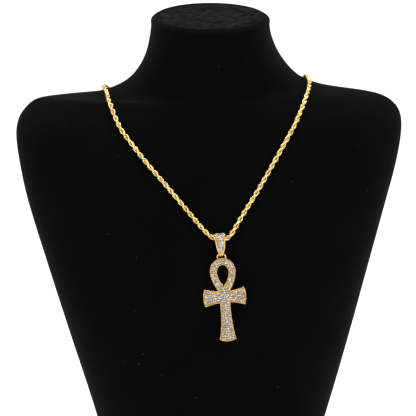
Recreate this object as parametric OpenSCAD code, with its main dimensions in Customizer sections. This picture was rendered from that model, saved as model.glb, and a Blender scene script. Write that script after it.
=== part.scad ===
// Ankh pendant on a rope chain, worn by a velvet neck bust.
// Millimetres, +Z up, the bust faces -Y, the origin is the middle of the base.
// The chain hangs in a V on the chest. A stone-set bail rides on it and carries the ankh by its eye.

/* [Neck bust] */
// Height of the shoulder line above the base
shoulder_h = 248; // [244:1:252]
// Height of the neck above the shoulder line
neck_h = 52.5; // [50:0.5:60]
// Width over the shoulders
shoulder_w = 263; // [240:1:280]
// Reach of the base in front of the middle of the neck
base_front = 78; // [76:0.5:79]
// Reach of the base behind the middle of the neck
base_back = 52; // [48:1:60]
// Width of the top of the neck
neck_w = 82; // [80:0.5:84]
// Depth of the top of the neck
neck_d = 80; // [79:0.5:81]
// Slope of the shoulder line, its right end higher, in degrees
shoulder_tilt = 1.6; // [0:0.1:1.8]
// How far the root of the neck stands to the right of the middle of the base
neck_shift = 2; // [0:0.5:2.5]
// Slope of the neck's top down to the front, in degrees
neck_top_slope = 8.5; // [0:0.5:10]

/* [Rope chain] */
// Thickness of the rope chain
chain_d = 3; // [2.4:0.1:3.1]
// Length of the clasp
clasp_l = 11; // [8:0.5:11]
// Thickness of the clasp
clasp_d = 3.6; // [3.2:0.1:4]

/* [Bail] */
// Width of the bail over the chain
bail_w = 7.1; // [6:0.1:8]
// Distance between the middles of the bail's two bends
bail_drop = 10.25; // [9:0.25:12]
// Thickness of the bail's strap
strap_t = 1; // [0.9:0.05:1.1]
// Room between the chain and the inside of the bail
chain_room = 0.9; // [0.8:0.05:1.1]
// Room between the eye's wire and the inside of the bail
eye_room = 0.5; // [0.45:0.05:0.55]
// Width of the gold rims beside the bail's stones
bail_rim_w = 0.8; // [0.7:0.05:1.1]
// Roll of the pendant on the chest, foot to the right
roll = 4.6; // [0:0.1:8]

/* [Ankh] */
// Span of the arms between their corners
arm_span = 26; // [24:0.1:30]
// Crown of an arm's end beyond its corners
arm_crown = 1.1; // [0.4:0.1:1.6]
// Height of an arm at its end
arm_end_h = 11.7; // [10:0.1:13]
// Height of an arm at the stem
arm_waist_h = 7.6; // [7:0.1:8.6]
// Length of the stem from the middle of the arms to the corners of the foot
stem_l = 28; // [25:0.5:32]
// Width of the stem below the arms
stem_w = 6.6; // [6.4:0.1:7.6]
// Width of the foot
foot_w = 11; // [10:0.1:13]
// Crown of the foot below its corners
foot_crown = 1.4; // [0.6:0.1:1.8]
// Height of the loop's top above the middle of the arms
loop_top = 25.8; // [24:0.1:29]
// Width over the loop
loop_w = 16.8; // [16:0.1:19]
// Height of the band of stones over the loop's opening
top_band = 4.6; // [4.4:0.1:5]
// Width of the loop's opening
opening_w = 7.7; // [6.4:0.1:8]
// Height of the loop's opening
opening_h = 14.2; // [12:0.1:15]
// Width of the gold rims
rim_w = 0.85; // [0.8:0.05:1.1]
// Thickness of the plate under the stones
plate_t = 1; // [0.8:0.05:1.2]
// Height of the rims above the plate
rim_h = 0.65; // [0.6:0.05:0.8]

/* [Eye] */
// Radius of the eye, to the middle of its wire
eye_r = 2.7; // [2.6:0.05:2.9]
// Thickness of the eye's wire
eye_wire = 1; // [0.9:0.05:1.05]
// Height of the eye's middle above the top of the loop
eye_lift = 0.3; // [0.1:0.05:0.5]

/* [Stones] */
// Diameter of a stone
stone_d = 1.26; // [1.2:0.02:1.26]
// Smallest distance between the middles of two stones
stone_pitch = 1.38; // [1.38:0.01:1.6]

/* [Hidden] */
$fn = 48;
// Clearance between the clasp and the ends of the chain
clasp_gap = 0.15;
// Clearance between a stone and the gold round it
stone_gap = 0.08;

// Middle of the rope chain, from the clasp's left end over the left shoulder, down to the bail and back
CHAIN_ROUTE = [
    [-clasp_l / 2 - clasp_gap, 49.2, 226], [-12, 48.9, 226], [-25, 48.2, 226.8], [-40, 46.8, 229],
    [-52, 44.9, 232.5], [-61, 42.4, 237], [-67.5, 39.5, 242], [-71.4, 36, 246], [-72.7, 30.5, 248.2],
    [-73, 22, 249.3], [-72.7, 13, 251], [-72.1, 5.4, 251.7], [-69.6, -7.5, 249.9], [-67.9, -20.8, 248.2],
    [-65.7, -27.6, 243.8], [-60.6, -35.9, 233.4], [-55.5, -40.2, 226.2], [-43.2, -45.6, 211.1],
    [-27.6, -50.2, 193.4], [-13.2, -54.1, 176.8], [-4.8, -57, 167.4], [0.9, -58.8, 162.3],
    [6.5, -59.2, 161],
    [12.2, -58.8, 162.1], [15.6, -57.1, 166.6], [21.7, -53.9, 176.4], [32.4, -49.8, 193.3],
    [42.8, -45.5, 211.1], [51.7, -40.9, 226.3], [56, -37.2, 233.6], [60.9, -30, 243.2], [64.3, -21, 249.9],
    [66.6, -10.5, 253.8], [67.2, -2, 256.6], [66.4, 8, 258.6], [65.6, 16, 257.5], [65, 24, 255],
    [64.5, 31, 252], [63.7, 36.8, 248.8], [61.7, 41, 242.5], [57, 43.4, 236.8], [50, 45.4, 232.5],
    [40, 46.9, 229], [25, 48.3, 226.8], [12, 48.9, 226], [clasp_l / 2 + clasp_gap, 49.2, 226]
];
// Place in the route of the point from which the bail hangs, and how far the chain sags inside the bail
bail_place = 22;
chain_sag = 0.5;
hang = CHAIN_ROUTE[bail_place] + [0, 0, chain_sag];

// Chest of the bust, a row for each section from the base up:
// [height / shoulder_h, half width / half shoulder_w, front / base_front, back / base_back, squareness,
// shift / neck_shift, tilt as a share of the shoulders' tilt]
CHEST = [
    [0.000, 0.541, 1.000, 1.000, 2.80, 0.30, 0.00],
    [0.180, 0.642, 0.974, 1.000, 2.70, 0.30, 0.00],
    [0.360, 0.744, 0.897, 0.980, 2.60, -0.15, 0.08],
    [0.545, 0.846, 0.782, 0.960, 2.50, -0.65, 0.20],
    [0.705, 0.932, 0.673, 0.925, 2.40, -0.95, 0.30],
    [0.805, 0.977, 0.609, 0.910, 2.30, -0.70, 0.28],
    [0.887, 1.000, 0.562, 0.900, 2.10, -0.50, 0.26],
    [0.935, 0.992, 0.525, 0.905, 1.85, -0.15, 0.32],
    [0.967, 0.957, 0.487, 0.920, 1.60, 0.10, 0.36],
    [0.992, 0.887, 0.449, 0.935, 1.45, 0.00, 0.30],
    [0.998, 0.754, 0.436, 0.935, 1.45, 0.35, 0.90]
];
// Neck, a row for each section above the shoulder line, shift and tilt as in the chest:
// [height / neck_h, half width / half neck_w, front / half neck_d, back / half neck_d, squareness, shift, tilt,
// share of the slope of the neck's top]
NECK = [
    [0.050, 1.868, 0.825, 1.200, 1.55, 0.65, 1.00, 0.00],
    [0.160, 1.478, 0.800, 1.180, 1.75, 0.95, 0.95, 0.00],
    [0.320, 1.256, 0.795, 1.150, 1.90, 1.00, 0.75, 0.10],
    [0.525, 1.098, 0.810, 1.125, 2.00, 0.65, 0.42, 0.35],
    [0.725, 1.012, 0.830, 1.100, 2.00, 0.20, 0.20, 0.65],
    [0.877, 0.978, 0.850, 1.085, 2.00, 0.10, 0.06, 0.90],
    [0.957, 0.976, 0.840, 1.030, 2.00, 0.10, 0.00, 1.00],
    [1.000, 0.900, 0.775, 0.940, 2.00, 0.10, 0.00, 1.00]
];
// Facets round the bust, and sections that the loft adds between two rows
bust_facets = 40;
bust_steps = 2;

// Outline of the bail seen from the front: [height / bail_drop below the chain's middle, half width / half bail_w]
BAIL_OUTLINE = [
    [-0.400, 1.000], [0.080, 0.970], [0.330, 0.860], [0.580, 0.800],
    [0.830, 0.600], [1.070, 0.350], [1.300, 0.320]
];

// Point at t between the second and third of four rows, on a smooth curve through all of them
function smooth_between(p0, p1, p2, p3, t) =
    0.5 * (2 * p1 + (p2 - p0) * t + (2 * p0 - 5 * p1 + 4 * p2 - p3) * t * t
        + (3 * p1 - p0 - 3 * p2 + p3) * t * t * t);
// The rows of a table with further rows on a smooth curve between them
function smooth_rows(rows, steps) =
    let (last = len(rows) - 1)
    concat(
        [for (i = [0:last - 1], k = [0:steps - 1])
            smooth_between(rows[max(i - 1, 0)], rows[i], rows[i + 1], rows[min(i + 2, last)], k / steps)],
        [rows[last]]);
function unit(v) = v / norm(v);
function signed_power(v, p) = sign(v) * pow(abs(v), p);

// Sections of the bust in millimetres: [height, half width, front, back, squareness, shift, slope to the right,
// slope to the back]
function section(r, low, h, w, front, back, top) =
    [low + r[0] * h, r[1] * w / 2, -r[2] * front, r[3] * back, r[4], r[5] * neck_shift,
        r[6] * tan(shoulder_tilt), top * tan(neck_top_slope)];
bust_rows = concat(
    [for (r = CHEST) section(r, 0, shoulder_h, shoulder_w, base_front, base_back, 0)],
    [for (r = NECK) section(r, shoulder_h, neck_h, neck_w, neck_d / 2, neck_d / 2, r[7])]);
bust_sections = smooth_rows(bust_rows, bust_steps);
// Points of one section, a rounded rectangle between its front and its back, higher on the right and at the back
function section_points(r) =
    [for (k = [0:bust_facets - 1])
        let (a = 360 * k / bust_facets, middle = (r[3] + r[2]) / 2, half = (r[3] - r[2]) / 2,
            x = r[5] + r[1] * signed_power(cos(a), 2 / r[4]), y = half * signed_power(sin(a), 2 / r[4]))
        [x, middle + y, r[0] + x * r[6] + y * r[7]]];
// Depth of the chest's front line at a height
front_line = [for (r = bust_sections) [r[0], r[2]]];
function chest_front(z) = lookup(z, front_line);

// Faces of a stack of rings of n points each, closed at both ends
function ring_faces(rings, n) =
    concat(
        [[for (k = [0:n - 1]) k]],
        [for (i = [0:rings - 2], k = [0:n - 1], half = [0, 1])
            let (a = i * n + k, b = i * n + (k + 1) % n)
            half == 0 ? [a, a + n, b + n] : [a, b + n, b]],
        [[for (k = [n - 1:-1:0]) (rings - 1) * n + k]]);

// Tube of the rope chain: a ring at every point of the smoothed route
chain_sides = 8;
chain_steps = 2;
chain_points = smooth_rows(CHAIN_ROUTE, chain_steps);
function chain_ring(i) =
    let (last = len(chain_points) - 1,
        p = chain_points[i],
        run = i == 0 || i == last ? [-1, 0, 0]
            : unit(chain_points[i + 1] - chain_points[i - 1]),
        out = [p[0], p[1], 0],
        u = unit(out - (out * run) * run),
        v = cross(run, u))
    [for (k = [0:chain_sides - 1])
        let (a = 360 * (k + 0.5) / chain_sides)
        p + chain_d / 2 * (cos(a) * u + sin(a) * v)];

// Radii of the bail's bends, inside and outside
chain_bend_in = chain_d / 2 + chain_room;
chain_bend_out = chain_bend_in + strap_t;
eye_bend_in = eye_wire / 2 + eye_room;
eye_bend_out = eye_bend_in + strap_t;
// Angle of the bail's legs to its middle line, which is its lean when its back lies along the velvet
leg_angle = asin((chain_bend_out - eye_bend_out) / bail_drop);

// The eye's ends reach this many degrees below its middle, into the plate
eye_tuck = 20;
// Ankh, heights from the middle of the arms: the top of the eye's wire lies a little above the middle of the
// bail's lower bend, so that the wire's sides clear the bend too
wire_rise = 0.15;
eye_z = loop_top + eye_lift;
bend_z = eye_z + eye_r - wire_rise;
opening_top = loop_top - top_band;
opening_tip = opening_top - opening_h;
// Depths of the widest places of the loop and of its opening, as shares of the loop's width and the
// opening's height
loop_wide_share = 0.52;
opening_wide_share = 0.37;
loop_wide_z = loop_top - loop_wide_share * loop_w;
opening_wide_z = opening_top - opening_wide_share * opening_h;
// The loop's sides would run out to a point this share of the arms' height below the middle of the arms
loop_root_share = 0.21;
loop_fall = loop_wide_z + loop_root_share * arm_waist_h;
// The plate's back lies behind the middle of the eye's wire
plate_back = 0.9;
floor_y = plate_back - plate_t;

// Lean of the chest under the pendant, and the further lean of the ankh that brings its foot to the velvet
chest_span = bail_drop + bend_z + stem_l;
chest_lean = atan2(chest_front(hang[2]) - chest_front(hang[2] - chest_span), chest_span);
ankh_lean = asin((eye_bend_out - plate_back) / (bend_z + stem_l));

// Half height of an arm at x, and half width of the stem at z: the higher the flare, the later they widen
arm_flare = 1.5;
stem_flare = 3;
function arm_half(x) =
    let (t = max(0, abs(x) - stem_w / 2) / (arm_span / 2 - stem_w / 2))
    arm_waist_h / 2 + (arm_end_h - arm_waist_h) / 2 * pow(t, arm_flare);
function stem_half(z) =
    let (t = max(0, -z - arm_waist_h / 2) / (stem_l - arm_waist_h / 2))
    stem_w / 2 + (foot_w - stem_w) / 2 * pow(t, stem_flare);
// Crown of an edge across its own width, 1 in the middle and 0 at the corners
function crown(share) = 1 - share * share;
// A drop shape: half an ellipse above the widest height and a cosine side below it, as a closed line
function drop_side(w, wide_z, fall, t) = [w / 2 * cos(90 * t), wide_z - fall * t];
function drop_line(w, top, wide_z, fall, steps, end = 1) = concat(
    [for (k = [steps:-1:1]) let (p = drop_side(w, wide_z, fall, end * k / steps)) [-p[0], p[1]]],
    [for (k = [0:steps]) let (a = 180 - 180 * k / steps) [w / 2 * cos(a), wide_z + (top - wide_z) * sin(a)]],
    [for (k = [1:steps]) drop_side(w, wide_z, fall, end * k / steps)]);
loop_line = drop_line(loop_w, loop_top, loop_wide_z, loop_fall, 16);
opening_line = drop_line(opening_w, opening_top, opening_wide_z, opening_wide_z - opening_tip, 16);
// One side of the arms from the stem to the end, and one side of the stem from the arms to the foot
curve_steps = 8;
arm_line = [for (k = [0:curve_steps]) let (x = arm_span / 2 * k / curve_steps) [x, arm_half(x)]];
arm_end_line = [for (k = [1:2 * curve_steps - 1])
    let (s = 1 - k / curve_steps) [arm_span / 2 + arm_crown * crown(s), arm_end_h / 2 * s]];
stem_line = [for (k = [0:curve_steps]) let (z = -stem_l * k / curve_steps) [stem_half(z), z]];
foot_line = [for (k = [1:2 * curve_steps - 1])
    let (s = 1 - k / curve_steps) [foot_w / 2 * s, -stem_l - foot_crown * crown(s)]];

module ankh_outline() {
    difference() {
        polygon(loop_line);
        polygon(opening_line);
    }
    for (side = [-1, 1])
        scale([side, 1])
            polygon(concat(arm_line, arm_end_line,
                [for (k = [curve_steps:-1:0]) [arm_line[k][0], -arm_line[k][1]]]));
    polygon(concat(stem_line, foot_line, [for (k = [curve_steps:-1:0]) [-stem_line[k][0], stem_line[k][1]]]));
}

// Cut stones: [radius / stone_d, height / stone_d from the top of the girdle], the table turned by half a facet
STONE_RINGS = [[0.30, 0.12, 0.5], [0.50, 0.00, 0], [0.50, -0.04, 0]];
culet_depth = 0.36;
stone_facets = 8;
// Height of the top of a stone's girdle above the floor of its seat
girdle_h = stone_gap + culet_depth * stone_d;
// Points of a stone whose girdle has its middle at seat[0], u direction seat[1] and outward direction seat[2]
function stone_points(seat) =
    let (u = seat[1], n = seat[2], v = cross(n, u))
    concat(
        [for (r = STONE_RINGS, k = [0:stone_facets - 1])
            let (a = 360 * (k + r[2]) / stone_facets)
            seat[0] + stone_d * (r[0] * (cos(a) * u + sin(a) * v) + r[1] * n)],
        [seat[0] - culet_depth * stone_d * n]);
function stone_faces(first) =
    let (m = stone_facets)
    concat(
        [[for (k = [m - 1:-1:0]) first + k]],
        [for (k = [0:m - 1]) [first + k, first + (k + 1) % m, first + m + (k + 1) % m]],
        [for (k = [0:m - 1]) [first + k, first + m + (k + 1) % m, first + m + k]],
        [for (k = [0:m - 1])
            [first + m + k, first + m + (k + 1) % m, first + 2 * m + (k + 1) % m, first + 2 * m + k]],
        [for (k = [0:m - 1]) [first + 2 * m + k, first + 2 * m + (k + 1) % m, first + 3 * m]]);
points_per_stone = len(STONE_RINGS) * stone_facets + 1;
module stones(seats) {
    polyhedron(
        points = [for (s = seats, p = stone_points(s)) p],
        faces = [for (i = [0:len(seats) - 1], f = stone_faces(i * points_per_stone)) f]);
}

// Longer than any distance in the pendant, and less than any difference that counts
far_away = 1000;
rounding = 0.001;
// Least room between two stones where rows of different directions meet
row_room = 0.02;
// Keeps the places of a list, in its order, that lie at least this room from the stone at every place kept before
function spaced(places, kept = [], i = 0) =
    i >= len(places) ? kept
    : spaced(places,
        min([far_away, for (q = kept) norm(q - places[i])]) < stone_d + row_room - rounding ? kept
            : concat(kept, [places[i]]),
        i + 1);

// Places along a line at equal distances of stone_pitch or a little more
function line_lengths(line, i = 0, sum = 0, out = []) =
    i >= len(line) ? out
    : line_lengths(line, i + 1,
        sum + (i + 1 < len(line) ? norm(line[i + 1] - line[i]) : 0),
        concat(out, [sum]));
function along(line) =
    let (lengths = line_lengths(line), total = lengths[len(line) - 1], n = floor(total / stone_pitch),
        xs = [for (i = [0:len(line) - 1]) [lengths[i], line[i][0]]],
        zs = [for (i = [0:len(line) - 1]) [lengths[i], line[i][1]]])
    [for (k = [0:n]) [lookup(total * k / n, xs), lookup(total * k / n, zs)]];
// A line moved sideways, to its right seen along its points
function beside(line, distance) =
    [for (i = [0:len(line) - 1])
        let (d = unit(line[min(i + 1, len(line) - 1)] - line[max(i - 1, 0)]))
        line[i] + distance * [d[1], -d[0]]];
// n places spread over a width of 2 * half, the outer stones inside the rims
function spread(half) =
    let (reach = half - rim_w - stone_d / 2 - stone_gap,
        n = floor(2 * reach / stone_pitch) + 1)
    n < 2 ? [0] : [for (k = [0:n - 1]) -reach + 2 * reach * k / (n - 1)];

// Middles of the stones in the ankh, [x, z] from the middle of the arms
edge_inset = rim_w + stone_d / 2 + stone_gap;
row_steps = 24;
// The outer row ends at this share of the loop's sides, where they meet the arms
outer_row_end = 0.62;
outer_row = beside(drop_line(loop_w, loop_top, loop_wide_z, loop_fall, row_steps, outer_row_end), edge_inset);
inner_row = beside(drop_line(opening_w, opening_top, opening_wide_z, opening_wide_z - opening_tip, row_steps),
    -edge_inset);
// Columns in the arms run from their ends to the stem. The columns, and the rows of the foot, bend less with
// every step from the crowned edge, and are straight after this many
straight_after = 4.5;
function fading(k) = max(0, 1 - k / straight_after);
arm_run = arm_span / 2 - edge_inset - stem_w / 4;
column_count = floor(arm_run / stone_pitch);
column_pitch = arm_run / column_count;
arm_places = [for (side = [1, -1], k = [0:column_count - 1])
    let (x = arm_span / 2 - edge_inset - k * column_pitch, half = arm_half(x))
    for (z = spread(half)) [side * (x + arm_crown * crown(z / half) * fading(k)), z]];
stem_run = stem_l + opening_tip - 2 * edge_inset;
row_count = floor(stem_run / stone_pitch);
row_pitch = stem_run / row_count;
stem_places = [for (k = [0:row_count])
    let (z = -stem_l + edge_inset + k * row_pitch, half = stem_half(z))
    for (x = spread(half)) [x, z - foot_crown * crown(x / half) * fading(k)]];
ankh_places = spaced(concat(along(outer_row), along(inner_row), stem_places, arm_places));
ankh_seats = [for (p = ankh_places) [[p[0], floor_y - girdle_h, p[1]], [1, 0, 0], [0, -1, 0]]];

// The groove for the bail's stones starts this many degrees above the front of the chain's bend, and ends this
// many degrees round the eye's bend
groove_reach = 88;
groove_end = 25;
// Depth of the groove: the stones' girdles lie this far below the strap's surface
girdle_sink = 0.025;
groove_d = girdle_h + girdle_sink;
// Front of the bail as a path, from behind the top of the chain's bend down to the eye's bend:
// [distance across the strap's surface, y, z, angle of the outward direction above the front]
function bail_place_at(s) =
    let (seat_r = chain_bend_out - girdle_sink,
        low_r = eye_bend_out - girdle_sink,
        bend = seat_r * (groove_reach + leg_angle) * PI / 180,
        leg = bail_drop * cos(leg_angle))
    s < bend ? let (a = groove_reach - s / (seat_r * PI / 180)) [-seat_r * cos(a), seat_r * sin(a), a]
    : s < bend + leg ?
        let (d = s - bend, a = -leg_angle)
        [-seat_r * cos(a) - d * sin(a), seat_r * sin(a) - d * cos(a), a]
    : let (a = -leg_angle - (s - bend - leg) / (low_r * PI / 180))
        [-low_r * cos(a), -bail_drop + low_r * sin(a), a];
bail_outline_half = [for (r = BAIL_OUTLINE) [r[0] * bail_drop, r[1] * bail_w / 2]];
function bail_half(z) = lookup(-z, bail_outline_half);
bail_path_length = (chain_bend_out * (groove_reach + leg_angle) + eye_bend_out * groove_end) * PI / 180
    + bail_drop * cos(leg_angle);
// The first row of stones in the bail lies this far from the start of the groove, and the last a little more
// than that from its end
first_row = 0.8 * stone_d;
bail_run = bail_path_length - 2 * stone_d;
bail_row_count = floor(bail_run / stone_pitch);
bail_row_pitch = bail_run / bail_row_count;
function bail_spread(half) =
    let (reach = half - bail_rim_w - stone_d / 2 - stone_gap, n = floor(2 * reach / (stone_d + row_room)) + 1)
    n < 2 ? [0] : [for (k = [0:n - 1]) -reach + 2 * reach * k / (n - 1)];
bail_seats = [for (k = [0:bail_row_count])
    let (p = bail_place_at(first_row + k * bail_row_pitch), half = bail_half(p[1]))
    for (x = bail_spread(half)) [[x, p[0], p[1]], [1, 0, 0], [0, -cos(p[2]), sin(p[2])]]];

// Places: the pendant hangs from the chain along the chest, rolled to the right
module in_chest() {
    translate(hang) rotate([-chest_lean, 0, 0]) rotate([0, -roll, 0]) children();
}
module in_bail() {
    in_chest() rotate([leg_angle, 0, 0]) children();
}
module in_ankh() {
    in_chest()
        translate([0, bail_drop * sin(leg_angle), -bail_drop * cos(leg_angle)])
            rotate([ankh_lean, 0, 0])
                translate([0, 0, -bend_z]) children();
}

module neck_bust() {
    color("#1d1e20")
        polyhedron(
            points = [for (r = bust_sections, p = section_points(r)) p],
            faces = ring_faces(len(bust_sections), bust_facets));
}

module rope_chain() {
    color("#e0b04e")
        polyhedron(
            points = [for (i = [0:len(chain_points) - 1], p = chain_ring(i)) p],
            faces = ring_faces(len(chain_points), chain_sides));
}

module clasp() {
    color("#e0b04e")
        translate([-clasp_l / 2, CHAIN_ROUTE[0][1], CHAIN_ROUTE[0][2]])
            rotate([0, 90, 0]) cylinder(d = clasp_d, h = clasp_l);
}

// Strap in the plane x = 0, between an inner and an outer distance from its inside: an arc round a bend,
// and a leg that runs on past both bends by a lap
module strap_arc(bend_in, from, to, start, angle) {
    rotate_extrude(start = start, angle = angle)
        translate([bend_in + from, 0]) square([to - from, bail_w]);
}
module strap_leg(side, from, to, lap = 0) {
    linear_extrude(bail_w) polygon([
        for (e = [[chain_bend_in + to, 0, -lap], [chain_bend_in + from, 0, -lap],
            [eye_bend_in + from, bail_drop, lap], [eye_bend_in + to, bail_drop, lap]])
            [side * (e[0] * cos(leg_angle) - e[2] * sin(leg_angle)),
                -e[0] * sin(leg_angle) - e[1] - e[2] * cos(leg_angle)]]);
}
module across_bail() {
    rotate([90, 0, 90]) translate([0, 0, -bail_w / 2]) children();
}
module bail_strap() {
    across_bail() {
        strap_arc(chain_bend_in, 0, strap_t, -leg_angle, 180 + 2 * leg_angle);
        strap_leg(-1, 0, strap_t);
        strap_leg(1, 0, strap_t);
        translate([0, -bail_drop]) strap_arc(eye_bend_in, 0, strap_t, 180 + leg_angle, 180 - 2 * leg_angle);
    }
}
// The groove for the stones runs down the front of the strap from the top of the chain's bend, and its cut goes
// this far past the strap's surface
past_strap = 1;
// The groove's cut along the leg laps over its cuts round the bends by this much, and those are deeper by the
// step, so that no film of metal stays between them
groove_lap = 0.4;
groove_step = 0.01;
module stone_groove() {
    from = strap_t - groove_d;
    to = strap_t + past_strap;
    across_bail() {
        strap_arc(chain_bend_in, from - groove_step, to, 180 - groove_reach, groove_reach + leg_angle);
        strap_leg(-1, from, to + groove_lap, groove_lap);
        translate([0, -bail_drop])
            strap_arc(eye_bend_in, from - groove_step, to, 180 + leg_angle, groove_end);
    }
}

// Prism of the bail's front outline, its sides moved in by an inset
module bail_prism(inset) {
    half = [for (r = BAIL_OUTLINE) [r[1] * bail_w / 2 - inset, -r[0] * bail_drop]];
    rotate([90, 0, 0]) translate([0, 0, -2 * chain_bend_out]) linear_extrude(4 * chain_bend_out)
        polygon(concat(half, [for (k = [len(half) - 1:-1:0]) [-half[k][0], half[k][1]]]));
}

module bail() {
    color("#e6b95a") in_bail()
        difference() {
            intersection() {
                bail_strap();
                bail_prism(0);
            }
            intersection() {
                stone_groove();
                bail_prism(bail_rim_w);
            }
        }
}

module bail_stones() {
    color("#e8ebee") in_bail() stones(bail_seats);
}

module ankh_frame() {
    color("#e6b95a") in_ankh() {
        translate([0, plate_back, 0]) rotate([90, 0, 0]) {
            linear_extrude(plate_t) ankh_outline();
            linear_extrude(plate_t + rim_h) difference() {
                ankh_outline();
                offset(r = -rim_w) ankh_outline();
            }
        }
        translate([0, 0, eye_z]) rotate([90, 0, 0])
            rotate_extrude(start = -eye_tuck, angle = 180 + 2 * eye_tuck)
                translate([eye_r, 0]) circle(d = eye_wire);
    }
}

module ankh_stones() {
    color("#e8ebee") in_ankh() stones(ankh_seats);
}

neck_bust();
rope_chain();
clasp();
bail();
bail_stones();
ankh_frame();
ankh_stones();
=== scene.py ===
# %% [markdown]
# # An ankh pendant on a rope chain
# This lesson dresses a finished construction: a gold ankh set with small clear stones, its bail,
# a rope chain and the black velvet neck bust that wears them. The construction comes in as a
# fixed frame, in metres. Every piece made here takes its place from that frame, so nothing has
# to be fitted by eye afterwards.

# %% Load the frame
import math

import bmesh
import bpy
import numpy as np
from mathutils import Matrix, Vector


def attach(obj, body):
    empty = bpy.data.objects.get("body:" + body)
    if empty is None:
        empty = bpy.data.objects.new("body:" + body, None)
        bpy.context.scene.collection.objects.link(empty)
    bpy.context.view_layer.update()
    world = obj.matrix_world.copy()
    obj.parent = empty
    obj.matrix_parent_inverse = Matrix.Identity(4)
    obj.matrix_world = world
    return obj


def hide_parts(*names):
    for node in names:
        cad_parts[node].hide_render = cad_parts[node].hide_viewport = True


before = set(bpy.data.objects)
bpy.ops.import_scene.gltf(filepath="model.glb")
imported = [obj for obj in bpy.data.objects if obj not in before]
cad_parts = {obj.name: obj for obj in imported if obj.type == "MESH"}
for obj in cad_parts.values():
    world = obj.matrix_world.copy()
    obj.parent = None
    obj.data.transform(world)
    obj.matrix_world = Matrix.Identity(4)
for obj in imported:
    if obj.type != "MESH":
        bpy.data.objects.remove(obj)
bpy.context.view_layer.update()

MM = 0.001

# %% [markdown]
# ## Camera first
# The photograph looks at the chest from a little above, from more than a metre away with a long
# lens, so the two shoulders are as wide as each other and the neck hardly tapers. Setting the
# camera first means that every later piece can be judged in the final view.

# %% Camera
TARGET = Vector((-1.4, 0, 168.2)) * MM
CAMERA_DISTANCE = 1.15
CAMERA_ELEVATION = math.radians(13)
LENS, SENSOR_WIDTH = 144.2, 36


def link(thing):
    """Put an object into the scene, and hand it back."""
    bpy.context.scene.collection.objects.link(thing)
    return thing


camera_data = bpy.data.cameras.new("camera")
camera_data.lens = LENS
camera_data.sensor_width = SENSOR_WIDTH
camera = link(bpy.data.objects.new("camera", camera_data))
toward_camera = Vector((0, -math.cos(CAMERA_ELEVATION), math.sin(CAMERA_ELEVATION)))
camera.location = TARGET + CAMERA_DISTANCE * toward_camera
camera.rotation_euler = (-toward_camera).to_track_quat("-Z", "Y").to_euler()
bpy.context.scene.camera = camera
print("camera at", [round(c, 3) for c in camera.location])

# %% [markdown]
# ## Light
# A jewel is lit by large white surfaces, because polished gold shows nothing but what it
# reflects. A white surround gives every facet something bright, a broad soft lamp from above
# makes the floor a clean white, and two panels at the sides draw bright lines along the wires of
# the chain.

# %% Lamps and surround
PANEL_SIZE, PANEL_POWER = (0.4, 0.8), 9
SUN_STRENGTH, SUN_SPREAD = 3.0, math.radians(32)
TOWARD_SUN = Vector((0.05, 0.1, 1))
SURROUND_STRENGTH = 0.5


def panel(name, place):
    """A white panel that faces the pendant."""
    data = bpy.data.lights.new(name, "AREA")
    data.shape = "RECTANGLE"
    data.size, data.size_y = PANEL_SIZE
    data.energy = PANEL_POWER
    lamp = link(bpy.data.objects.new(name, data))
    lamp.location = place
    lamp.rotation_euler = (TARGET - Vector(place)).to_track_quat("-Z", "Y").to_euler()


panel("panel_left", (-1.1, -0.8, 0.55))
panel("panel_right", (1.1, -0.8, 0.6))

sun_data = bpy.data.lights.new("broad_over", "SUN")
sun_data.energy = SUN_STRENGTH
sun_data.angle = SUN_SPREAD
sun = link(bpy.data.objects.new("broad_over", sun_data))
sun.rotation_euler = TOWARD_SUN.to_track_quat("Z", "Y").to_euler()

surround = bpy.data.worlds.new("surround")
surround.use_nodes = True
background = surround.node_tree.nodes["Background"]
background.inputs["Color"].default_value = (1, 1, 1, 1)
background.inputs["Strength"].default_value = SURROUND_STRENGTH
bpy.context.scene.world = surround
bpy.context.scene.view_settings.view_transform = "Standard"
print("lamps:", [lamp.name for lamp in bpy.data.lights])

# %% [markdown]
# ## Floor
# The bust stands in front of plain white. A floor much wider than the view gives that white and
# catches the soft shadow. It belongs to the picture and not to the model, so it is only staged.

# %% Floor
FLOOR_HALF, FLOOR_DROP = 6.0, 0.4 * MM
floor_mesh = bpy.data.meshes.new("floor")
corners = [
    (FLOOR_HALF * x, FLOOR_HALF * y, -FLOOR_DROP) for x, y in ((-1, -1), (1, -1), (1, 1), (-1, 1))]
floor_mesh.from_pydata(corners, [], [(0, 1, 2, 3)])
floor = link(bpy.data.objects.new("floor", floor_mesh))
print("floor:", 2 * FLOOR_HALF, "m wide")

# %% [markdown]
# ## Materials
# Each finish is a small node tree. One helper starts it with its plain settings, which go on the
# shader's own sockets. The others add textures and turn their values into colours. The textures
# read object coordinates, in metres, so that every pattern has its real size on every piece.

# %% Helpers for node trees
def new_finish(name, **settings):
    finish = bpy.data.materials.new(name)
    finish.use_nodes = True
    shader = finish.node_tree.nodes["Principled BSDF"]
    for socket, value in settings.items():
        shader.inputs[socket.replace("_", " ")].default_value = value
    return finish, finish.node_tree, shader


def add_node(tree, kind, **values):
    node = tree.nodes.new(kind)
    for key, value in values.items():
        if key in node.inputs:
            node.inputs[key].default_value = value
        else:
            setattr(node, key, value)
    return node


def on_object(tree, kind, **values):
    """A texture that reads object coordinates."""
    place = add_node(tree, "ShaderNodeTexCoord")
    texture = add_node(tree, kind, **values)
    tree.links.new(place.outputs["Object"], texture.inputs["Vector"])
    return texture


def noise(tree, scale, detail=2.0, roughness=0.5):
    values = {"Scale": scale, "Detail": detail, "Roughness": roughness}
    return on_object(tree, "ShaderNodeTexNoise", **values).outputs["Fac"]


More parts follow.
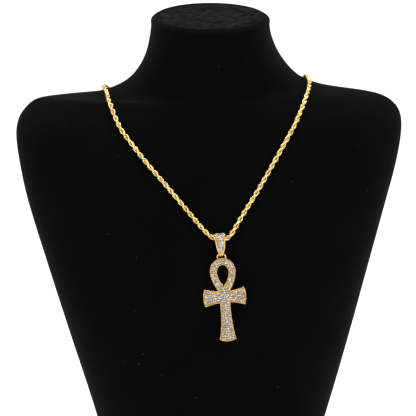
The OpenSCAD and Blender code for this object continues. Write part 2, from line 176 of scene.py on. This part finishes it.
def colour_stops(tree, factor, *stops):
    """Colours between stops, each a value of the factor and the colour it gets."""
    node = add_node(tree, "ShaderNodeValToRGB")
    elements = node.color_ramp.elements
    while len(elements) < len(stops):
        elements.new(0.5)
    for element, (position, colour) in zip(elements, stops):
        element.position = position
        element.color = (*colour, 1)
    tree.links.new(factor, node.inputs["Fac"])
    return node.outputs["Color"]


def colour_between(tree, factor, low, high, start=0.35, end=0.65):
    """Two colours, with the change where most values of a noise lie."""
    return colour_stops(tree, factor, (start, low), (end, high))


# %% Paper for the floor
floor_paper, paper_tree, paper_shader = new_finish("floor_paper", Roughness=0.9)
paper_colour = colour_between(
    paper_tree, noise(paper_tree, 40), (0.88, 0.88, 0.88), (0.92, 0.92, 0.92))
paper_tree.links.new(paper_colour, paper_shader.inputs["Base Color"])
floor.data.materials.append(floor_paper)
print("paper:", len(paper_tree.nodes), "nodes")

# %% [markdown]
# ### Black velvet
# Velvet is a pile of short upright fibres. It swallows light that comes from the front and gives
# a little back where it is seen along the surface, which is what the sheen layer is for. Hair
# could make the fibres one by one, but at this distance they are far smaller than a pixel. So
# fine noise breaks up the pile, and a broader one makes the faint patches where the nap was
# stroked another way. Black velvet also shows every bit of lint: a cell pattern gives a few
# specks, each a small ball round a cell's point where the surface cuts it. The disc on top of the
# neck is a separate cut of the cloth with more lint, and its paler colour is painted light, for
# the light that falls on its top.

# %% Velvet
SHEEN_TINT = (0.72, 0.73, 0.72, 1)
PILE_SCALE, PILE_SHARE, PILE_DEPTH = 2600, 0.35, 0.4 * MM
LINT_RADIUS = 0.45 * MM
LINT_COLOUR = (0.035, 0.036, 0.035, 1)


def make_velvet(name, low, high, sheen, patch_scale, lint_per_metre):
    finish, tree, shader = new_finish(
        name, Roughness=0.95, Specular_IOR_Level=0.02, Sheen_Weight=sheen, Sheen_Roughness=0.5,
        Sheen_Tint=SHEEN_TINT)
    pile = noise(tree, PILE_SCALE, roughness=0.6)
    cloth = add_node(tree, "ShaderNodeMath", operation="MULTIPLY_ADD")
    tree.links.new(pile, cloth.inputs[0])
    cloth.inputs[1].default_value = PILE_SHARE
    tree.links.new(noise(tree, patch_scale), cloth.inputs[2])

    cells = on_object(tree, "ShaderNodeTexVoronoi", Scale=lint_per_metre)
    edge = LINT_RADIUS * lint_per_metre
    lint = colour_between(
        tree, cells.outputs["Distance"], (1, 1, 1), (0, 0, 0), 0.5 * edge, edge)

    # Sockets 6 and 7 of a colour mix are its two colours, and output 2 is the result
    colour = add_node(tree, "ShaderNodeMix", data_type="RGBA")
    tree.links.new(lint, colour.inputs["Factor"])
    tree.links.new(colour_between(tree, cloth.outputs[0], low, high, 0.4, 1.0), colour.inputs[6])
    colour.inputs[7].default_value = LINT_COLOUR
    tree.links.new(colour.outputs[2], shader.inputs["Base Color"])

    relief = add_node(tree, "ShaderNodeBump", Strength=0.6, Distance=PILE_DEPTH)
    tree.links.new(pile, relief.inputs["Height"])
    tree.links.new(relief.outputs["Normal"], shader.inputs["Normal"])
    return finish


velvet = make_velvet("velvet", (0.0006, 0.0006, 0.0005), (0.0015, 0.0015, 0.0013), 0.03, 26, 95)
# Painted light: the top disc's colours are much paler than the rest, for the light on its top; its
# denser lint is real.
painted_light_top_velvet = make_velvet(
    "painted_light_top_velvet", (0.0002, 0.0002, 0.0002), (0.0160, 0.0164, 0.0166), 0.006, 190, 170)
print("velvet:", velvet.name, "and", painted_light_top_velvet.name)

# %% [markdown]
# ### Gold
# The chain and the pendant are polished yellow gold. Their colour is in the reflection, so the
# shader is fully metallic. A little noise in the roughness keeps the polish from looking like
# plastic, and the cast pendant is a little warmer and softer than the drawn wire of the chain.

# %% Gold
POLISH_FINENESS = 6
POLISH_LOW, POLISH_HIGH = 0.8, 1.25


def make_gold(name, low, high, roughness, grain):
    finish, tree, shader = new_finish(name, Metallic=1.0)
    tone = colour_between(tree, noise(tree, grain), low, high)
    tree.links.new(tone, shader.inputs["Base Color"])
    spread = add_node(tree, "ShaderNodeMapRange")
    spread.inputs["To Min"].default_value = roughness * POLISH_LOW
    spread.inputs["To Max"].default_value = roughness * POLISH_HIGH
    tree.links.new(noise(tree, grain * POLISH_FINENESS, 3.0), spread.inputs["Value"])
    tree.links.new(spread.outputs["Result"], shader.inputs["Roughness"])
    return finish


chain_gold = make_gold("chain_gold", (0.79, 0.555, 0.18), (0.92, 0.71, 0.34), 0.15, 400)
pendant_gold = make_gold("pendant_gold", (0.66, 0.385, 0.10), (0.74, 0.45, 0.135), 0.2, 500)
print("gold:", chain_gold.name, "and", pendant_gold.name)

# %% [markdown]
# ### Clear stones
# A cut stone is bright where a facet throws light back and dark where it doesn't, and a field of
# small ones looks like a mosaic of white, grey and a little of the gold below. Real refraction
# needs far more light paths than so small a stone can show, so a cell pattern, finer than a
# stone, gives each facet its own brightness as painted glints and painted shade in its colour,
# and a partly metallic shader adds the reflections.

# %% Stones
FACET_CELLS = 1900
# Painted light: colours from near black to white for glints and shade, the darker ones faintly
# warm for gold seen in the stones.
FACET_PAINTED_LIGHT = (
    (0.0, (0.03, 0.027, 0.023)), (0.35, (0.11, 0.107, 0.098)),
    (0.65, (0.31, 0.31, 0.305)), (1.0, (0.80, 0.80, 0.81)))

clear_stone, stone_tree, stone_shader = new_finish(
    "clear_stone", Metallic=0.25, Roughness=0.05, IOR=2.1)
facets = on_object(stone_tree, "ShaderNodeTexVoronoi", Scale=FACET_CELLS)
split = add_node(stone_tree, "ShaderNodeSeparateColor")
stone_tree.links.new(facets.outputs["Color"], split.inputs["Color"])
stone_painted_light = colour_stops(stone_tree, split.outputs["Red"], *FACET_PAINTED_LIGHT)
stone_tree.links.new(stone_painted_light, stone_shader.inputs["Base Color"])
print("finishes:", [finish.name for finish in bpy.data.materials])

# %% [markdown]
# ## The bust
# The bust is a moulded form with velvet drawn over it. It could be sculpted, but a stack of level
# sections keeps to the construction's sizes. Each row of the tables gives a section's height,
# half width, front and back, as shares of the named sizes, and how square its outline is. The
# construction has the same stack with flat facets, and this finer one stands in its place.

# %% Sizes and tables of the bust's sections
SHOULDER_H, NECK_H = 248 * MM, 52.5 * MM
SHOULDER_W, NECK_W, NECK_D = 263 * MM, 82 * MM, 80 * MM
BASE_FRONT, BASE_BACK = 78 * MM, 52 * MM
SHOULDER_TILT, TOP_SLOPE = math.tan(math.radians(1.6)), math.tan(math.radians(8.5))
NECK_SHIFT = 2 * MM
# height / shoulder height, half width / half shoulder width, front / base front,
# back / base back, squareness, shift / neck shift, tilt / shoulder tilt
CHEST = [
    (0.000, 0.541, 1.000, 1.000, 2.80, 0.30, 0.00),
    (0.180, 0.642, 0.974, 1.000, 2.70, 0.30, 0.00),
    (0.360, 0.744, 0.897, 0.980, 2.60, -0.15, 0.08),
    (0.545, 0.846, 0.782, 0.960, 2.50, -0.65, 0.20),
    (0.705, 0.932, 0.673, 0.925, 2.40, -0.95, 0.30),
    (0.805, 0.977, 0.609, 0.910, 2.30, -0.70, 0.28),
    (0.887, 1.000, 0.562, 0.900, 2.10, -0.50, 0.26),
    (0.935, 0.992, 0.525, 0.905, 1.85, -0.15, 0.32),
    (0.967, 0.957, 0.487, 0.920, 1.60, 0.10, 0.36),
    (0.992, 0.887, 0.449, 0.935, 1.45, 0.00, 0.30),
    (0.998, 0.754, 0.436, 0.935, 1.45, 0.35, 0.90),
]
# The same columns for the neck, as shares of its height above the shoulders, its half width and
# its half depth, and then the share of the slope of its top
NECK = [
    (0.050, 1.868, 0.825, 1.200, 1.55, 0.65, 1.00, 0.00),
    (0.160, 1.478, 0.800, 1.180, 1.75, 0.95, 0.95, 0.00),
    (0.320, 1.256, 0.795, 1.150, 1.90, 1.00, 0.75, 0.10),
    (0.525, 1.098, 0.810, 1.125, 2.00, 0.65, 0.42, 0.35),
    (0.725, 1.012, 0.830, 1.100, 2.00, 0.20, 0.20, 0.65),
    (0.877, 0.978, 0.850, 1.085, 2.00, 0.10, 0.06, 0.90),
    (0.957, 0.976, 0.840, 1.030, 2.00, 0.10, 0.00, 1.00),
    (1.000, 0.900, 0.775, 0.940, 2.00, 0.10, 0.00, 1.00),
]


def section(row, low, height, width, front, back):
    """The shares of a row turned into metres and slopes."""
    h, w, f, b, squareness, shift, tilt, top = (*row, 0)[:8]
    return (low + h * height, w * width / 2, -f * front, b * back, squareness,
            shift * NECK_SHIFT, tilt * SHOULDER_TILT, top * TOP_SLOPE)


table_rows = [section(row, 0, SHOULDER_H, SHOULDER_W, BASE_FRONT, BASE_BACK) for row in CHEST]
table_rows += [section(row, SHOULDER_H, NECK_H, NECK_W, NECK_D / 2, NECK_D / 2) for row in NECK]
print("bust:", len(table_rows), "sections in the tables")

# %% [markdown]
# ### More sections between the rows
# Straight lines between the rows would leave edges in the cloth. A smooth curve through them
# gives eight times as many sections, so the shoulders roll over softly. Velvet can't follow the
# sharp crest where the shoulders meet the neck, so the sections there are averaged with their
# neighbours a number of times. That rounding fades in and out over one row of the tables at each
# end, because a sudden end would leave a kink in the outline.

# %% Smooth sections
BUST_STEPS = 8
CREST_PASSES = 16
CREST_BELOW, CREST_ABOVE = 4, 3


def smooth_rows(rows, steps):
    """A curve through every row, with a number of steps from each to the next."""
    rows = np.array(rows, float)
    padded = np.vstack([rows[0], rows, rows[-1]])
    out = []
    for i in range(len(rows) - 1):
        p0, p1, p2, p3 = padded[i:i + 4]
        for t in np.arange(steps) / steps:
            out.append(0.5 * (2 * p1 + (p2 - p0) * t + (2 * p0 - 5 * p1 + 4 * p2 - p3) * t**2
                              + (3 * p1 - p0 - 3 * p2 + p3) * t**3))
    out.append(rows[-1])
    return np.array(out)


def round_crest(rows):
    first, last = (BUST_STEPS * (len(CHEST) + k) for k in (-CREST_BELOW, CREST_ABOVE))
    crest = slice(first, last)
    softer = rows.copy()
    for _ in range(CREST_PASSES):
        before, after = np.roll(softer, 1, axis=0), np.roll(softer, -1, axis=0)
        softer[crest] = (before + 2 * softer + after)[crest] / 4
    fade = (first, first + BUST_STEPS, last - BUST_STEPS, last)
    share = np.interp(np.arange(len(rows)), fade, (0, 1, 1, 0))[:, None]
    return rows + share * (softer - rows)


sections = round_crest(smooth_rows(table_rows, BUST_STEPS))
print("bust:", len(sections), "smooth sections")

# %% [markdown]
# ### Rings of points
# Each section becomes a ring of points. Its squareness bends the outline between a diamond, an
# ellipse and a rounded box. The disc of velvet on top of the neck is sewn in: its seam is a small
# groove just inside the edge, and level rings close the rest.

# %% Rings
BUST_FACETS = 200
TOP_SEAM_DEPTH = 0.5 * MM
# How far each ring lies inside the neck's edge, in mm, and its depth as a share of the seam's
DISC_RINGS = ((0.9, 0.1), (2.0, 0.9), (2.4, 0.9), (3.5, 0.1), (9, 0), (20, 0), (28, 0))


def section_ring(height, half_width, front, back, squareness, shift, to_right, to_back):
    turn = 2 * math.pi * np.arange(BUST_FACETS) / BUST_FACETS
    cos, sin = np.cos(turn), np.sin(turn)
    x = shift + half_width * np.sign(cos) * np.abs(cos)**(2 / squareness)
    y = (back - front) / 2 * np.sign(sin) * np.abs(sin)**(2 / squareness)
    return np.column_stack([x, (front + back) / 2 + y, height + to_right * x + to_back * y])


def disc_rings(last):
    height, half_width, front, back, *rest = last
    rings = []
    for inset, drop in DISC_RINGS:
        inset, drop = inset * MM, drop * TOP_SEAM_DEPTH
        rings.append(
            section_ring(height - drop, half_width - inset, front + inset, back - inset, *rest))
    return rings


rings = [section_ring(*row) for row in sections] + disc_rings(sections[-1])
print("bust:", len(rings), "rings of", BUST_FACETS, "points")


# %% Skin the rings
def stack_faces(ring_count, n, first=0):
    """Faces of a closed stack of rings with n points each, numbered from the first point."""
    faces = [[first + k for k in range(n)][::-1]]
    for i in range(ring_count - 1):
        for k in range(n):
            a, b = first + i * n + k, first + i * n + (k + 1) % n
            faces.append((a, b, b + n, a + n))
    faces.append([first + (ring_count - 1) * n + k for k in range(n)])
    return faces


def make_piece(name, points, faces, smooth=True):
    mesh = bpy.data.meshes.new(name)
    mesh.from_pydata(np.asarray(points, float).tolist(), [], faces)
    mesh.validate()
    mesh.polygons.foreach_set("use_smooth", [smooth] * len(mesh.polygons))
    mesh.update()
    return link(bpy.data.objects.new(name, mesh))


bust = make_piece("velvet_bust", np.vstack(rings), stack_faces(len(rings), BUST_FACETS))
bust.data.materials.append(velvet)
bust.data.materials.append(painted_light_top_velvet)
# Face 0 is the base. The disc begins at the bottom of the seam, two strips inside the edge
disc_start = 1 + (len(sections) + 1) * BUST_FACETS
for face in bust.data.polygons[disc_start:]:
    face.material_index = 1
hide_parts("neck_bust")
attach(bust, "bust")
print("bust:", len(bust.data.polygons), "faces")

# %% [markdown]
# ## The rope chain
# A rope chain is made of small round links. Each link holds the next three, and each is turned a
# little from the one before, so that their sides build up two strands that wind round each other.
# An array of one link along a curve could lay them too, but its twist would follow the curve's
# own. Here a loop gives every link its place and its turn, so the spacing, the wire and the turn
# from link to link make the rope. The route is the construction's own, in millimetres.

# %% Route of the chain
CLASP_END = 5.65
CHAIN_ROUTE = [
    (-CLASP_END, 49.2, 226), (-12, 48.9, 226), (-25, 48.2, 226.8), (-40, 46.8, 229),
    (-52, 44.9, 232.5), (-61, 42.4, 237), (-67.5, 39.5, 242), (-71.4, 36, 246),
    (-72.7, 30.5, 248.2), (-73, 22, 249.3), (-72.7, 13, 251), (-72.1, 5.4, 251.7),
    (-69.6, -7.5, 249.9), (-67.9, -20.8, 248.2), (-65.7, -27.6, 243.8), (-60.6, -35.9, 233.4),
    (-55.5, -40.2, 226.2), (-43.2, -45.6, 211.1), (-27.6, -50.2, 193.4), (-13.2, -54.1, 176.8),
    (-4.8, -57, 167.4), (0.9, -58.8, 162.3), (6.5, -59.2, 161),
    (12.2, -58.8, 162.1), (15.6, -57.1, 166.6), (21.7, -53.9, 176.4), (32.4, -49.8, 193.3),
    (42.8, -45.5, 211.1), (51.7, -40.9, 226.3), (56, -37.2, 233.6), (60.9, -30, 243.2),
    (64.3, -21, 249.9), (66.6, -10.5, 253.8), (67.2, -2, 256.6), (66.4, 8, 258.6),
    (65.6, 16, 257.5), (65, 24, 255), (64.5, 31, 252), (63.7, 36.8, 248.8), (61.7, 41, 242.5),
    (57, 43.4, 236.8), (50, 45.4, 232.5), (40, 46.9, 229), (25, 48.3, 226.8), (12, 48.9, 226),
    (CLASP_END, 49.2, 226),
]
ROUTE_STEPS = 40
fine_route = smooth_rows(CHAIN_ROUTE, ROUTE_STEPS) * MM
route_steps = np.linalg.norm(np.diff(fine_route, axis=0), axis=1)
route_lengths = np.concatenate([[0], np.cumsum(route_steps)])
print("chain length: %.1f mm" % (route_lengths[-1] / MM))


# %% Frames along the route
def frames_along(count, start, end):
    """Lengths, points, directions and steady side vectors at equal distances on the route."""
    at = np.linspace(start, end, count)
    points = np.column_stack([np.interp(at, route_lengths, fine_route[:, k]) for k in range(3)])
    along = np.gradient(points, axis=0)
    along /= np.linalg.norm(along, axis=1)[:, None]
    side = np.cross(along[0], (0, 0, 1))
    sides = []
    for direction in along:
        side = side - side.dot(direction) * direction
        side /= np.linalg.norm(side)
        sides.append(side)
    return at, points, along, np.array(sides)


# %% The links
LINK_WIRE, LINK_ACROSS = 0.62 * MM, 3.2 * MM
LINK_SPACING, ROPE_TURN = 0.70 * MM, 10.2 * MM
LINK_OPENING = math.radians(40)
WIRE_SIDES, LINK_STEPS = 6, 16


def link_points(point, along, side, turn):
    """A round open link in the plane of the chain's line and a direction across it."""
    across = math.cos(turn) * side + math.sin(turn) * np.cross(along, side)
    normal = np.cross(along, across)
    radius = (LINK_ACROSS - LINK_WIRE) / 2
    bends = np.linspace(LINK_OPENING / 2, 2 * math.pi - LINK_OPENING / 2, LINK_STEPS + 1)
    round_wire = 2 * math.pi * (np.arange(WIRE_SIDES) + 0.5) / WIRE_SIDES
    out = []
    for bend in bends:
        outward = math.cos(bend) * along + math.sin(bend) * across
        middle = point + radius * outward
        out += [middle + LINK_WIRE / 2 * (math.cos(w) * outward + math.sin(w) * normal)
                for w in round_wire]
    return out


def make_rope():
    ends = LINK_ACROSS / 2
    count = int((route_lengths[-1] - 2 * ends) / LINK_SPACING) + 1
    points, faces = [], []
    for at, point, along, side in zip(*frames_along(count, ends, route_lengths[-1] - ends)):
        faces += stack_faces(LINK_STEPS + 1, WIRE_SIDES, len(points))
        points += link_points(point, along, side, 2 * math.pi * at / ROPE_TURN)
    print("rope:", count, "links,", len(faces), "faces")
    return make_piece("rope_links", points, faces)


rope = make_rope()
rope.data.materials.append(chain_gold)
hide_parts("rope_chain")
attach(rope, "bust")

# %% [markdown]
# ## The clasp
# The clasp is behind the neck. It stays the plain barrel of the construction, and a bevel takes
# the sharpness off its ends, as a turned barrel has.

# %% Clasp
CLASP_ROUND = 0.5 * MM
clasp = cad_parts["clasp"]
clasp.data.materials.clear()
clasp.data.materials.append(chain_gold)
clasp_bevel = clasp.modifiers.new("turned_ends", "BEVEL")
clasp_bevel.width = CLASP_ROUND
clasp_bevel.segments = 3
print("clasp:", len(clasp.data.polygons), "faces under its bevel")

# %% [markdown]
# ## The pendant's gold
# The ankh and the bail are cast, and polishing has rounded their edges. Each starts as a copy of
# its construction node. Merging the flat facets back into whole faces leaves only the real edges,
# and a bevel along those makes the soft rims. The bevel isn't clamped, because one very short
# edge would then make it narrow all the way round.

# %% Copy a node and soften its edges
SAME_POINT = 0.002 * MM
FLAT, SHARP = math.radians(0.5), math.radians(38)
EDGE_ROUND = 0.22 * MM


def finished_mesh(piece):
    """The mesh of a piece with its modifiers applied."""
    graph = bpy.context.evaluated_depsgraph_get()
    return bpy.data.meshes.new_from_object(
        piece.evaluated_get(graph), preserve_all_data_layers=True, depsgraph=graph)


def open_edges(data):
    mesh = bmesh.new()
    mesh.from_mesh(data)
    count = sum(1 for edge in mesh.edges if len(edge.link_faces) != 2)
    mesh.free()
    return count


def softened_gold(node, name):
    piece = link(bpy.data.objects.new(name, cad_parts[node].data.copy()))
    mesh = bmesh.new()
    mesh.from_mesh(piece.data)
    bmesh.ops.remove_doubles(mesh, verts=mesh.verts, dist=SAME_POINT)
    bmesh.ops.dissolve_limit(mesh, angle_limit=FLAT, verts=mesh.verts, edges=mesh.edges)
    mesh.to_mesh(piece.data)
    mesh.free()
    bevel = piece.modifiers.new("polished_edges", "BEVEL")
    bevel.width = EDGE_ROUND
    bevel.segments = 3
    bevel.limit_method = "ANGLE"
    bevel.angle_limit = SHARP
    bevel.use_clamp_overlap = False
    piece.data = finished_mesh(piece)
    piece.modifiers.clear()
    piece.data.materials.clear()
    piece.data.materials.append(pendant_gold)
    print(name, len(piece.data.polygons), "faces,", open_edges(piece.data), "open edges")
    return piece


# %% [markdown]
# ## The stones
# The ankh and the bail are covered with small round brilliants. The construction says where each
# one sits: its middle and the way it looks out can be read back from its solid. A stone is as
# wide as its nearest neighbour leaves room for, up to a limit, because a setter fills the gold.

# %% Where the stones sit
STONE_D = 1.26 * MM
CULET_DEPTH = 0.36 * STONE_D
WIDEST_STONE, STONE_SPACE = 1.34 * MM, 0.02 * MM


def separate_solids(mesh):
    """The points of each solid in a mesh, found by walking along its edges."""
    seen = set()
    for start in mesh.verts:
        if start in seen:
            continue
        seen.add(start)
        solid = [start]
        for vert in solid:
            for edge in vert.link_edges:
                other = edge.other_vert(vert)
                if other not in seen:
                    seen.add(other)
                    solid.append(other)
        yield np.array([vert.co for vert in solid])


def stone_seats(node):
    """Middle of the girdle, outward direction and room across for every stone in a node."""
    mesh = bmesh.new()
    mesh.from_mesh(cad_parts[node].data)
    bmesh.ops.remove_doubles(mesh, verts=mesh.verts, dist=SAME_POINT)
    seats = []
    for points in separate_solids(mesh):
        middle = points.mean(axis=0)
        outward = np.linalg.svd(points - middle)[2][2]
        heights = (points - middle) @ outward
        if heights.max() > -heights.min():
            outward, heights = -outward, -heights
        seats.append((points[heights.argmin()] + CULET_DEPTH * outward, outward))
    mesh.free()
    middles = np.array([middle for middle, _ in seats])
    nearest = [np.sort(np.linalg.norm(middles - middle, axis=1))[1] for middle in middles]
    return [(*seat, min(WIDEST_STONE, near - STONE_SPACE)) for seat, near in zip(seats, nearest)]


# %% [markdown]
# ### A brilliant
# A round stone has a table, eight stars, eight kites and sixteen small facets at the girdle. They
# are flat faces between four rings of points and the culet below. Hand setting is never perfect,
# so each stone is turned and leans a little by chance.

# %% A brilliant
CROWN_SIDES, GIRDLE_SIDES = 8, 16
# Size and height of each ring over the girdle, as shares of the girdle's radius
TABLE, STARS, GIRDLE, UNDER = (0.56, 0.30), (0.79, 0.17), (1, 0), (1, -0.10)
CULET_SINK = 0.2 * MM
LEAN = 0.07
chance = np.random.default_rng(11)


def two_across(outward):
    """Two directions square to the outward one and to each other."""
    u = np.cross(outward, (0.3, 0.1, 1))
    u /= np.linalg.norm(u)
    return u, np.cross(outward, u)


def brilliant(seat, first):
    """Points and faces of one cut stone, its culet sunk a little into the gold."""
    middle, outward, across = seat
    outward = outward + chance.normal(0, LEAN, 3)
    outward /= np.linalg.norm(outward)
    u, v = two_across(outward)
    turn = chance.uniform(0, math.pi / 4)
    radius = across / 2

    def ring(count, shape, half_step=0):
        size, height = shape
        angles = turn + 2 * math.pi * (np.arange(count) + half_step) / count
        return [middle + radius * (size * (math.cos(a) * u + math.sin(a) * v) + height * outward)
                for a in angles]

    points = ring(CROWN_SIDES, TABLE, 0.5) + ring(CROWN_SIDES, STARS)
    points += ring(GIRDLE_SIDES, GIRDLE) + ring(GIRDLE_SIDES, UNDER)
    points.append(middle - (CULET_DEPTH + CULET_SINK) * outward)

    table, star = first, first + CROWN_SIDES
    girdle = star + CROWN_SIDES
    under = girdle + GIRDLE_SIDES
    culet = under + GIRDLE_SIDES
    faces = [[table + k for k in range(CROWN_SIDES)]]
    for k in range(CROWN_SIDES):
        before, after = (k - 1) % CROWN_SIDES, (k + 1) % CROWN_SIDES
        faces.append((table + before, star + k, table + k))
        faces.append((table + k, star + k, girdle + 2 * k + 1, star + after))
        faces.append((star + k, girdle + 2 * k, girdle + 2 * k + 1))
        faces.append((star + k, girdle + (2 * k - 1) % GIRDLE_SIDES, girdle + 2 * k))
    for k in range(GIRDLE_SIDES):
        after = (k + 1) % GIRDLE_SIDES
        faces.append((girdle + k, under + k, under + after, girdle + after))
        faces.append((under + k, culet, under + after))
    return points, faces


# %% [markdown]
# ## The beads between the stones
# Pavé stones are held by beads of gold that the setter raises from the plate and pushes over
# their edges. A bead goes on each side of the line between two neighbours, where the round stones
# leave a corner free, unless another bead or a stone is already there. Placing them by this rule
# is quicker than by hand, and it works for any pattern of stones.

# %% Places for the beads
NEIGHBOUR = 1.85 * MM
BESIDE = 0.52 * MM
CLEAR_OF_STONE, CLEAR_OF_BEAD = 0.60 * MM, 0.45 * MM


def bead_places(seats):
    middles = np.array([seat[0] for seat in seats])
    outwards = np.array([seat[1] for seat in seats])
    places = []
    for i, j in zip(*np.triu_indices(len(seats), 1)):
        line = middles[j] - middles[i]
        gap = np.linalg.norm(line)
        if gap > NEIGHBOUR:
            continue
        outward = outwards[i] + outwards[j]
        outward /= np.linalg.norm(outward)
        across = np.cross(outward, line / gap)
        for side in (-1, 1):
            spot = (middles[i] + middles[j]) / 2 + side * BESIDE * across
            if np.linalg.norm(middles - spot, axis=1).min() < CLEAR_OF_STONE:
                continue
            if any(np.linalg.norm(spot - other[0]) < CLEAR_OF_BEAD for other in places):
                continue
            places.append((spot, outward))
    return places


# %% A bead
BEAD_R, BEAD_TOP, BEAD_ROOT = 0.17 * MM, 0.12 * MM, 0.62 * MM
BEAD_SIDES = 8
# Size of each ring, as a share of the bead's radius, and its height
BEAD_RINGS = ((1, -BEAD_ROOT), (1, 0), (0.75, 0.7 * BEAD_TOP))


def bead(place, first):
    """Points and faces of one bead, with its root in the gold."""
    spot, outward = place
    u, v = two_across(outward)
    angles = 2 * math.pi * np.arange(BEAD_SIDES) / BEAD_SIDES
    points = [spot + BEAD_R * size * (math.cos(a) * u + math.sin(a) * v) + height * outward
              for size, height in BEAD_RINGS for a in angles]
    points.append(spot + BEAD_TOP * outward)
    root, middle, rim, tip = (first + k * BEAD_SIDES for k in range(4))
    faces = [[root + k for k in range(BEAD_SIDES)][::-1]]
    for k in range(BEAD_SIDES):
        after = (k + 1) % BEAD_SIDES
        for low, high in ((root, middle), (middle, rim)):
            faces.append((low + k, low + after, high + after, high + k))
        faces.append((rim + k, rim + after, tip))
    return points, faces


def many(name, places, shape, finish):
    """One mesh of many small closed solids of the same shape."""
    points, faces = [], []
    for place in places:
        more_points, more_faces = shape(place, len(points))
        points += more_points
        faces += more_faces
    piece = make_piece(name, points, faces, smooth=False)
    mesh = bmesh.new()
    mesh.from_mesh(piece.data)
    bmesh.ops.recalc_face_normals(mesh, faces=mesh.faces)
    mesh.to_mesh(piece.data)
    mesh.free()
    piece.data.materials.append(finish)
    return piece


# %% [markdown]
# ## Stones, beads and gold in one
# A set piece is one body. A union joins the stones and the beads to the gold, so no surface is
# left inside another, and each face keeps the finish that it came with. The gold is then shaded
# smooth across its soft edges, and the stones stay flat, because a facet is flat.

# %% Join them
CREASE = math.radians(30)


def union_of(gold, others):
    """The mesh of the gold with the other pieces joined on, which are then removed."""
    for other in others:
        union = gold.modifiers.new("join_" + other.name, "BOOLEAN")
        union.operation = "UNION"
        union.object = other
        union.solver = "MANIFOLD"
        union.material_mode = "TRANSFER"
    joined = finished_mesh(gold)
    gold.modifiers.clear()
    for other in others:
        bpy.data.objects.remove(other)
    return joined


def set_with_stones(gold_node, stone_node, name, body):
    gold = softened_gold(gold_node, name)
    seats = stone_seats(stone_node)
    stones = many(name + "_stones", seats, brilliant, clear_stone)
    beads = many(name + "_beads", bead_places(seats), bead, pendant_gold)
    joined = gold.data = union_of(gold, (beads, stones))
    finishes = [finish.name if finish else "" for finish in joined.materials]
    slots = np.zeros(len(joined.polygons), int)
    joined.polygons.foreach_get("material_index", slots)
    in_gold = slots != finishes.index("clear_stone")
    joined.polygons.foreach_set("use_smooth", in_gold)
    joined.set_sharp_from_angle(angle=CREASE)
    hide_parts(gold_node, stone_node)
    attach(gold, body)
    print(name, len(seats), "stones,", len(joined.polygons), "faces,", open_edges(joined),
          "open edges,", finishes, int((~in_gold).sum()), "stone faces")


set_with_stones("ankh_frame", "ankh_stones", "set_ankh", "ankh")
set_with_stones("bail", "bail_stones", "set_bail", "bail")
